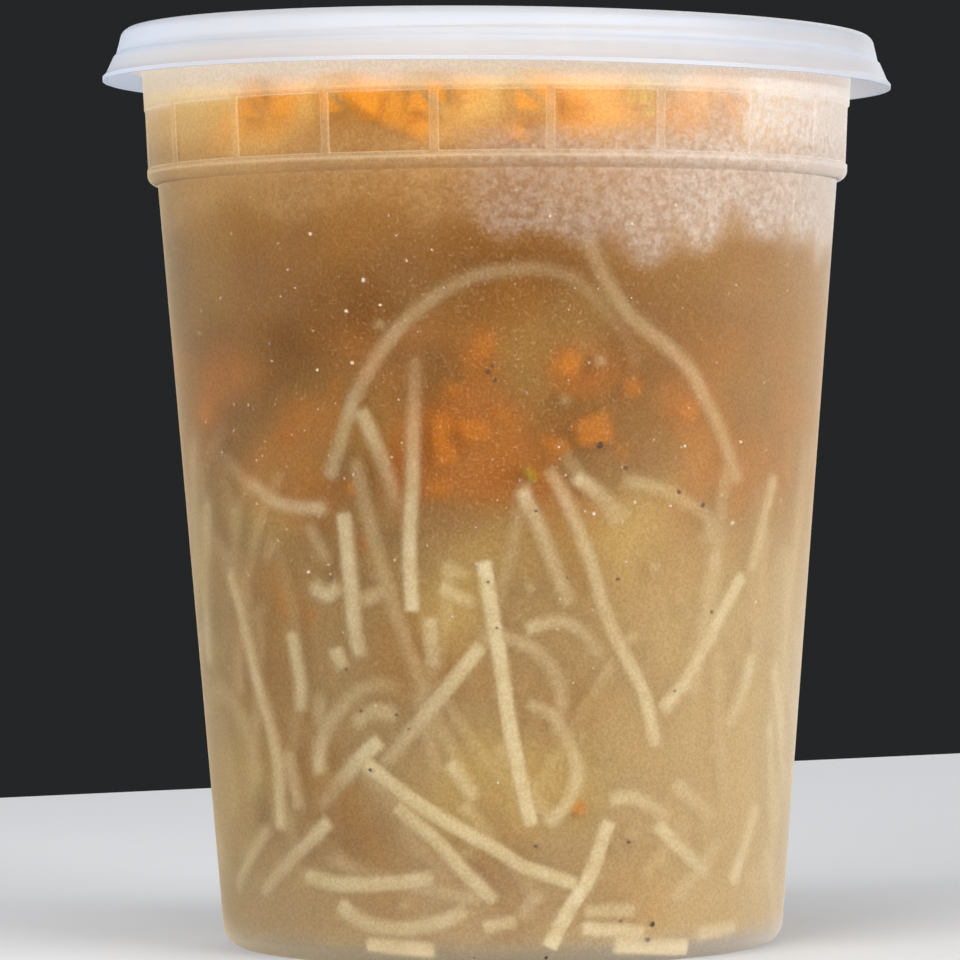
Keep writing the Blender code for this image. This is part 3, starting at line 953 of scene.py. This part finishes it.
def tub_profile():
    """The tub's outside from its rim down to the middle of the foot."""
    heights = [UPPER_LINE + LINE_WIDTH, UPPER_LINE, UPPER_LINE - LINE_WIDTH]
    heights += [WINDOW_TOP - off for off in edge_offsets()]
    heights += [z for _, z in between((0, heights[-1]), (0, WINDOW_BOTTOM + EDGE), 8)]
    heights += [WINDOW_BOTTOM + off for off in reversed(edge_offsets())]
    heights += [LOWER_LINE + LINE_WIDTH, LOWER_LINE, LOWER_LINE - LINE_WIDTH]
    band = [(band_radius(z), z) for z in heights]
    flange_centre = (FLANGE_RADIUS - FLANGE_ROUND, RIM_HEIGHT - FLANGE_ROUND)
    under_flange = (band_radius(FLANGE_HEIGHT), FLANGE_HEIGHT)
    rim = [(band_radius(RIM_HEIGHT) - 0.4 * WALL, RIM_HEIGHT), *arc(flange_centre, FLANGE_ROUND, 90, 0, 6)]
    rim += [(FLANGE_RADIUS, FLANGE_HEIGHT + FLANGE_BEVEL), (FLANGE_RADIUS - FLANGE_BEVEL, FLANGE_HEIGHT)]
    rim.append(under_flange)
    step_centre = (body_radius(SHOULDER_HEIGHT), SHOULDER_HEIGHT + SHOULDER_RADIUS)
    step = arc(step_centre, SHOULDER_RADIUS, 0, -90, 8)
    corner = arc((BODY_BOTTOM_RADIUS - CORNER_RADIUS, CORNER_RADIUS), CORNER_RADIUS, 0, -90, 10)
    foot = [(FOOT_INNER_RADIUS, 0.0), (FOOT_INNER_RADIUS - FOOT_RECESS, FOOT_RECESS), (0.0, FOOT_RECESS)]
    body = between(step[-1], corner[0], BODY_ROWS)
    return rim + between(under_flange, band[0], 4) + band + step + body + corner + foot


def make_tub():
    profile = inside_profile(0.0, FLANGE_HEIGHT) + tub_profile()
    mesh = turned_mesh("tub_wall", profile, rib_angles(), band_relief)
    let_light_by(add_piece("tub_wall", mesh, tub_material(), ["tub"]))


def lid_lines(angle, radius, z):
    """The lid's ridge and lip catch the light as thin lines."""
    if radius <= LID_SHOULDER_RADIUS:
        return 0.0, 0.0
    return 0.0, min(sum(bell(z - at, width) for at, width in LID_LINES), 1.0)


def lid_profile():
    """The lid from the middle of its panel over the rim and down the skirt, then back underneath."""
    under_top = LID_TOP - LID_WALL
    under_panel = LID_PANEL_HEIGHT - LID_WALL
    round_centre = (LID_SHOULDER_RADIUS - LID_SHOULDER_ROUND, LID_TOP - LID_SHOULDER_ROUND)
    panel = (0.0, LID_PANEL_HEIGHT)
    panel_edge = (LID_PLUG_RADIUS - 2 * LID_PLUG_SLOPE, LID_PANEL_HEIGHT)
    top = [panel, *between(panel, panel_edge, 8), panel_edge]
    for out, rise in ((-1.2, 0.08), (-0.7, 0.3), (-0.2, 1.1)):
        top.append((LID_PLUG_RADIUS + out * LID_PLUG_SLOPE, LID_PANEL_HEIGHT + rise * LID_WALL))
    for out, drop in ((0.3, 0.4), (0.7, 0.1), (1.3, 0.0)):
        top.append((LID_PLUG_RADIUS + out * LID_PLUG_SLOPE, LID_TOP - drop * LID_WALL))
    shoulder = arc(round_centre, LID_SHOULDER_ROUND, 90, 8, 10)
    ridge_top = (LID_SHOULDER_RADIUS + 1.5 * LID_RIDGE, LID_RIDGE_HEIGHT + LID_RIDGE)
    ridge = (LID_SHOULDER_RADIUS + 2.5 * LID_RIDGE, LID_RIDGE_HEIGHT)
    lip = (LID_RADIUS - LID_LIP_WIDTH, LID_SKIRT_HEIGHT + LID_LIP_WIDTH + LID_LIP_HEIGHT)
    skirt = [*between(shoulder[-1], ridge_top, 6), ridge_top, *between(ridge_top, ridge, 2), ridge]
    skirt += [*between(ridge, lip, 6), lip]
    skirt += [(LID_RADIUS, LID_SKIRT_HEIGHT + share * LID_LIP_HEIGHT) for share in (1, 0.5, 0)]
    inside = [
        (LID_RADIUS - LID_WALL, LID_SKIRT_HEIGHT),
        (LID_SHOULDER_RADIUS + 0.3 * LID_WALL, LID_RIDGE_HEIGHT - 0.5 * LID_RIDGE),
        (LID_SHOULDER_RADIUS - 0.8 * LID_WALL, LID_TOP - LID_SHOULDER_ROUND),
        (LID_SHOULDER_RADIUS - LID_SHOULDER_ROUND, under_top),
        (LID_PLUG_RADIUS + 1.5 * LID_PLUG_SLOPE, under_top),
        (LID_PLUG_RADIUS + 0.8 * LID_PLUG_SLOPE, under_top - 0.7 * LID_WALL),
        (LID_PLUG_RADIUS - 0.3 * LID_PLUG_SLOPE, under_panel),
        (0.0, under_panel),
    ]
    return top + shoulder + skirt + inside


def make_lid():
    mesh = turned_mesh("lid_cover", lid_profile(), even_angles(LID_COLUMNS), lid_lines)
    pivot = Matrix.Translation((0, 0, LID_SKIRT_HEIGHT))
    mesh.transform(pivot @ Matrix.Rotation(LID_TILT, 4, "Y") @ pivot.inverted())
    let_light_by(add_piece("lid_cover", mesh, lid_material(), ["lid"]))


def make_haze(broth_colour):
    """The outer broth, which reaches just into the wall and is drawn up at its edge."""
    side = inside_profile(-INTO_WALL, SOUP_LEVEL + MENISCUS)
    edge = side[-1][0]
    rise = (edge - 0.4 * MENISCUS_WIDTH, SOUP_LEVEL + 0.3 * MENISCUS)
    top = [(0.0, SOUP_LEVEL), (edge - MENISCUS_WIDTH, SOUP_LEVEL), rise]
    mesh = turned_mesh("broth_haze", top + side[::-1], even_angles(HAZE_COLUMNS))
    let_light_by(add_piece("broth_haze", mesh, haze_material(broth_colour), ["soup"]))


def make_core(broth_colour):
    """The opaque broth further in, which comes nearer to the wall towards the floor."""
    level = SOUP_LEVEL - CORE_DROP
    side = []
    for radius, z in inside_profile(CORE_DEPTH, level, CORE_FLOOR):
        nearer = (CORE_DEPTH - CORE_EDGE) * soft_step(z, CORE_RISE, 0)
        side.append((radius + nearer * radius / inner_radius(z), z))
    mesh = turned_mesh("broth_core", [(0.0, level)] + side[::-1], even_angles(CORE_COLUMNS))
    add_piece("broth_core", mesh, core_material(broth_colour), ["soup"])


def depths_along(count, first, last):
    return [first + (last - first) * i / max(count - 1, 1) for i in range(count)]


def loose_noodle(draw, low, high, least, most):
    """A route for a noodle somewhere round the wall: flat and short low down, steep and long above."""
    angle = draw.uniform(-math.pi, math.pi)
    z = low + (high - low) * draw.random() ** 1.4
    lying = z < LYING_HEIGHT
    steep = math.radians(draw.gauss(0, 62 if lying else 28))
    length = (draw.uniform(10, 26) if lying else draw.uniform(14, 52)) * MM
    bend = draw.gauss(0, 0.5) / (30 * MM) * (3.0 if draw.random() < 0.18 else 1.0)
    depths = depths_along(6, draw.uniform(least, most), draw.uniform(least, most))
    ceiling = high + (11 + 9 * math.sin(40 * angle)) * MM
    stride = length / (len(depths) - 1)
    points = []
    for depth in depths:
        if z > ceiling and len(points) > 1:
            break
        points.append(wall_spot(angle, max(z, LOWEST_NOODLE), depth * MM))
        angle += math.sin(steep) * stride / inner_radius(z)
        z += math.cos(steep) * stride
        steep += bend * stride
    return points


def faces_front(points):
    """True if a point lies on the side that the photograph shows."""
    return any(point.y < -FRONT_SHARE * math.hypot(point.x, point.y) for point in points)


def make_noodles(broth_colour):
    draw = random.Random(SEED)
    shape = bmesh.new()
    for first, last, *pixels in FRONT_NOODLES:
        depths = depths_along(len(pixels), first, last)
        points = [spot(u, v, depth * MM) for (u, v), depth in zip(pixels, depths)]
        noodle(shape, points, NOODLE_WIDTH * draw.uniform(0.9, 1.06), draw.uniform(-0.1, 0.12))
    for count, low, high, least, most, front_top in LOOSE_NOODLES:
        for _ in range(count):
            points = loose_noodle(draw, low, high, least, most)
            width, tint = NOODLE_WIDTH * draw.uniform(0.85, 1.06), draw.uniform(-0.1, 0.12)
            if not faces_front(points) or max(point.z for point in points) < front_top:
                noodle(shape, points, width, tint)
    finish = sunk_material("noodle_dough", broth_colour)
    add_piece("noodles", finish_mesh("noodles", shape), finish).visible_shadow = False


def scatter(shape, seen, loose, low, high, size, kind, draw, depths=LOOSE_DEPTHS, all_round=False):
    """Pieces at the photograph's pixels, then loose ones round the sides that it doesn't show."""
    at_front = FOCAL / (abs(EYE.y) - inner_radius(0.5 * MM * (low + high)))
    for u, v, pixels, depth in seen:
        wide = pixels / at_front
        blob(shape, spot(u, v, depth * MM + 0.5 * wide), wide, draw, kind, draw.uniform(-0.15, 0.15))
    for _ in range(loose):
        angle = draw.uniform(-math.pi, math.pi)
        z = draw.triangular(low, high, 0.5 * (low + high)) * MM
        wide, tint = size * MM * draw.uniform(0.6, 1.2), draw.uniform(-0.15, 0.15)
        place = wall_spot(angle, z, draw.uniform(*depths) * MM + 0.5 * wide)
        if all_round or not faces_front([place]):
            blob(shape, place, wide, draw, kind, tint)


def make_sunk_pieces(broth_colour):
    """Dice, bits and crumbs in the broth. Returns the finish of each kind, for what floats."""
    draw = random.Random(SEED + 1)
    finishes = {}
    for name, (flesh, seen, loose, low, high, size, kind, slot) in SUNK_PIECES.items():
        shape = bmesh.new()
        scatter(shape, seen, loose, low, high, size, kind, draw)
        finishes[flesh] = sunk_material(flesh, broth_colour)
        add_piece(name, finish_mesh(name, shape), finishes[flesh])
    return finishes


def make_specks():
    """Pepper and drops of fat on the inside of the wall."""
    draw = random.Random(SEED + 2)
    for name, (seen, loose, low, high, size, light, dark, all_round) in SPECKS.items():
        shape = bmesh.new()
        places = [(u, v, SPECK_SPREAD * pixels, SPECK_DEPTH) for u, v, pixels in seen]
        scatter(shape, places, loose, low, high, size, "ball", draw, LOOSE_SPECK_DEPTHS, all_round)
        add_piece(name, finish_mesh(name, shape), speck_material(name, light, dark))


def make_floating(kind, finish):
    """Rounds and roughens the solids that float at the top, and joins them into one piece."""
    names = sorted(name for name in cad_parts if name.startswith(kind + "_"))
    shape = bmesh.new()
    for name in names:
        single = bmesh.new()
        single.from_mesh(bpy.data.objects[name].data)
        bmesh.ops.subdivide_edges(single, edges=single.edges, cuts=2, use_grid_fill=True)
        for _ in range(2):
            every_way = {"use_axis_x": True, "use_axis_y": True, "use_axis_z": True}
            bmesh.ops.smooth_vert(single, verts=single.verts, factor=0.5, **every_way)
        for vert in single.verts:
            vert.co += DENT * noise.noise_vector(vert.co * DENTS_PER_METRE)
        made = bpy.data.meshes.new(name + "_round")
        single.to_mesh(made)
        single.free()
        shape.from_mesh(made)
        bpy.data.meshes.remove(made)
    shape.verts.layers.float.new("tint")
    piece_name = f"floating_{kind}"
    add_piece(piece_name, finish_mesh(piece_name, shape), finish, names)


# Studio


def make_studio():
    """Large soft lamps round the tub and dark surroundings, as in the photograph."""
    world = bpy.data.worlds.new("studio")
    world.use_nodes = True
    background = world.node_tree.nodes["Background"]
    background.inputs["Color"].default_value = WORLD_COLOUR
    background.inputs["Strength"].default_value = WORLD_STRENGTH
    bpy.context.scene.world = world
    for name, (place, size, power) in LAMPS.items():
        data = bpy.data.lights.new(name, "AREA")
        data.size = size
        data.energy = power
        lamp = new_object(name, data)
        lamp.location = place
        lamp.rotation_euler = (LAMP_AIM - Vector(place)).to_track_quat("-Z", "Y").to_euler()
    bpy.context.scene.view_settings.view_transform = "Standard"
    bpy.context.scene.cycles.diffuse_bounces = 2


def make_floor():
    """A pale table top that ends a little behind the tub, askew to the camera as in the photograph."""
    mesh = bpy.data.meshes.new("table_top")
    shape = bmesh.new()
    size = Matrix.Diagonal((2 * TABLE_HALF, 2 * TABLE_HALF, TABLE_THICK, 1))
    middle = Matrix.Translation((0, -TABLE_HALF, -0.5 * TABLE_THICK))
    turn = Matrix.Translation((0, TABLE_BACK, 0)) @ Matrix.Rotation(TABLE_TURN, 4, "Z")
    bmesh.ops.create_cube(shape, size=1.0, matrix=turn @ middle @ size)
    shape.to_mesh(mesh)
    shape.free()
    finish, graph = new_material("table_pale")
    colour = graph.mix(graph.noise(graph.place(), 6, 2), srgb(234, 236, 240), srgb(242, 243, 245))
    graph.surface(graph.principled(Base_Color=colour, Roughness=0.8, Specular_IOR_Level=0.0))
    mesh.materials.append(finish)
    new_object("table_top", mesh)


make_camera()
make_studio()
make_floor()
broth_colour = make_broth_colour()
make_tub()
make_lid()
make_haze(broth_colour)
make_core(broth_colour)
make_noodles(broth_colour)
finishes = make_sunk_pieces(broth_colour)
make_specks()
make_floating("carrot", finishes["carrot_flesh"])
make_floating("celery", finishes["celery_flesh"])
